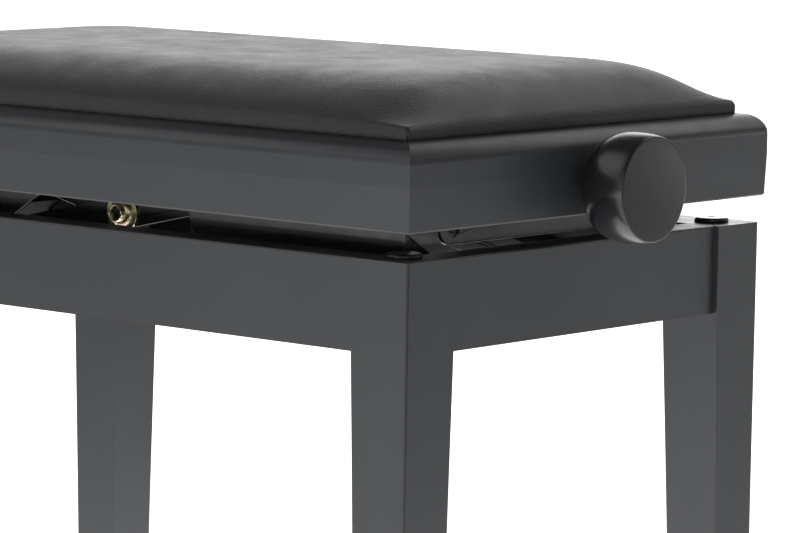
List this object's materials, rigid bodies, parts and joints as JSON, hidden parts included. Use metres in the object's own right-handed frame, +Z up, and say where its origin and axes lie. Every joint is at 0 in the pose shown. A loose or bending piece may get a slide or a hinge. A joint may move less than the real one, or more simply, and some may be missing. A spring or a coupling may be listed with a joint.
{
  "type": "piano bench",
  "caption": "Height-adjustable piano bench: padded seat on a wooden frame over a leg frame, raised by a knob-driven spindle and steel scissor arms.",
  "frame": {"origin": "on the floor under the middle of the bench", "axes": "+X along the bench towards one knob, -Y towards the front long side, +Z up"},
  "size_m": [0.6208, 0.33, 0.4822],
  "materials": {
    "black_wood": "satin black lacquer",
    "leatherette": "fine grained black leatherette",
    "black_steel": "gloss black paint",
    "yellow_zinc": "yellow passivated zinc",
    "bright_steel": "turned, oiled",
    "plywood": "dark-stained plywood",
    "foam": "open cell polyurethane foam",
    "black_plastic": "moulded black",
    "bumper": "smooth black",
    "knob_black": "satin black",
    "white_nylon": "natural nylon"
  },
  "bodies": {
    "base": {"leg_front_left": "black_wood", "leg_front_right": "black_wood", "leg_back_left": "black_wood", "leg_back_right": "black_wood", "apron_front": "black_wood", "apron_back": "black_wood", "apron_left": "black_wood", "apron_right": "black_wood", "glue_blocks": "black_wood", "end_cleat_left": "black_wood", "end_cleat_right": "black_wood", "cleat_screws": "yellow_zinc", "foot_glides": "black_plastic", "leg_bumpers": "bumper", "lower_rail_front": "black_steel", "lower_rail_back": "black_steel", "lower_cross_bar_left": "black_steel", "lower_cross_bar_right": "black_steel", "lower_rail_screws": "yellow_zinc", "lower_pivot_pins": "yellow_zinc"},
    "seat": {"seat_rail_front": "black_wood", "seat_rail_back": "black_wood", "seat_rail_left": "black_wood", "seat_rail_right": "black_wood", "seat_corner_blocks": "black_wood", "seat_board": "plywood", "foam_core": "foam", "cushion_cover": "leatherette", "upper_rail_front": "black_steel", "upper_rail_back": "black_steel", "spindle_plate_left": "black_steel", "spindle_plate_right": "black_steel", "spindle_bushes": "white_nylon", "board_screws": "yellow_zinc", "upper_pivot_pins": "yellow_zinc"},
    "spindle": {"spindle": "bright_steel", "spindle_collars": "bright_steel", "knob_left": "knob_black", "knob_right": "knob_black", "knob_grub_screws": "bright_steel"},
    "drive_nut": {"drive_nut": "bright_steel", "cross_rod": "bright_steel", "cross_rod_washers": "yellow_zinc", "cross_rod_clips": "bright_steel"},
    "drive_arms": {"drive_arm_front": "black_steel", "drive_arm_back": "black_steel", "drive_arm_tie_tube": "black_steel", "middle_bolts": "yellow_zinc", "middle_washers": "yellow_zinc", "middle_nuts": "yellow_zinc"},
    "slide_arms": {"slide_arm_front": "black_steel", "slide_arm_back": "black_steel", "slide_arm_tie_tube": "black_steel", "slide_pins": "yellow_zinc"}
  },
  "joints": [
    {"name": "seat_lift", "type": "slide", "parent": "base", "child": "seat", "axis": [0, 0, 1], "range_m": [-0.013, 0.082]},
    {"name": "knob_turn", "type": "hinge", "parent": "seat", "child": "spindle", "pos_m": [0, 0, 0.418], "axis": [1, 0, 0], "range_deg": [-510, 3180]},
    {"name": "nut_travel", "type": "slide", "parent": "seat", "child": "drive_nut", "axis": [1, 0, 0], "range_m": [-0.0268, 0.0045]},
    {"name": "drive_arm_swing", "type": "hinge", "parent": "base", "child": "drive_arms", "pos_m": [-0.1951, 0, 0.344], "axis": [0, -1, 0], "range_deg": [-2.1, 12.6]},
    {"name": "slide_arm_swing", "type": "hinge", "parent": "seat", "child": "slide_arms", "pos_m": [-0.1951, 0, 0.432], "axis": [0, 1, 0], "range_deg": [-2.1, 12.6]}
  ],
  "couplings": [
    {"joint": "knob_turn", "follows": "seat_lift", "rad_per_m": 674.39},
    {"joint": "nut_travel", "follows": "seat_lift", "ratio": -0.322},
    {"joint": "drive_arm_swing", "follows": "seat_lift", "rad_per_m": 2.632},
    {"joint": "slide_arm_swing", "follows": "seat_lift", "rad_per_m": 2.632}
  ]
}
